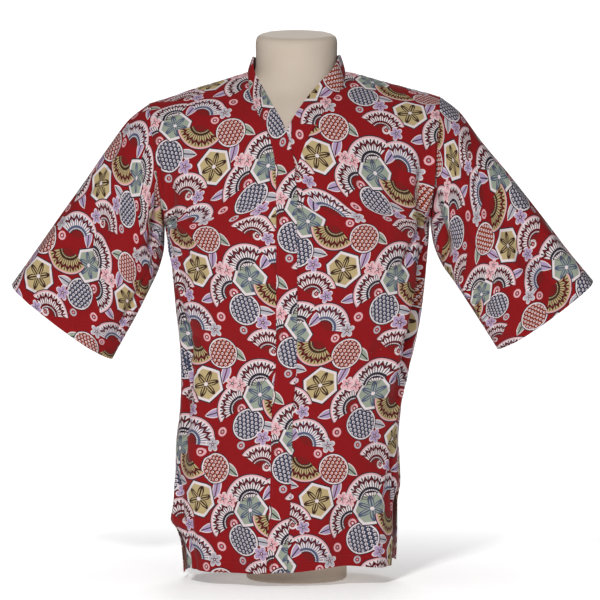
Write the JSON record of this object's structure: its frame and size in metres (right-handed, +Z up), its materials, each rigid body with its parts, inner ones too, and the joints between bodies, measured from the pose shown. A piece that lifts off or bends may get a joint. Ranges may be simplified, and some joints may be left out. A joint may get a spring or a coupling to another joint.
{
  "type": "japanese chef jacket on torso dress form",
  "caption": "Short-sleeved wrap-front chef jacket with a crossed neckband and side vents, standing open and hollow on a limbless torso dress form.",
  "frame": {"origin": "middle of the dress form's flat foot, on the surface it stands on", "axes": "+Z up, the front faces -Y, the wearer's left is at +X"},
  "size_m": [0.899, 0.2559, 0.8532],
  "materials": {
    "cloth": "printed plain-weave cotton blend",
    "band": "printed plain-weave cotton blend, doubled",
    "form": "matte beige"
  },
  "bodies": {
    "root": {"dress_form": "form", "back": "cloth", "front_right": "cloth", "front_left": "cloth", "sleeve_right": "cloth", "sleeve_left": "cloth", "band_right": "band", "band_left": "band"}
  },
  "joints": []
}
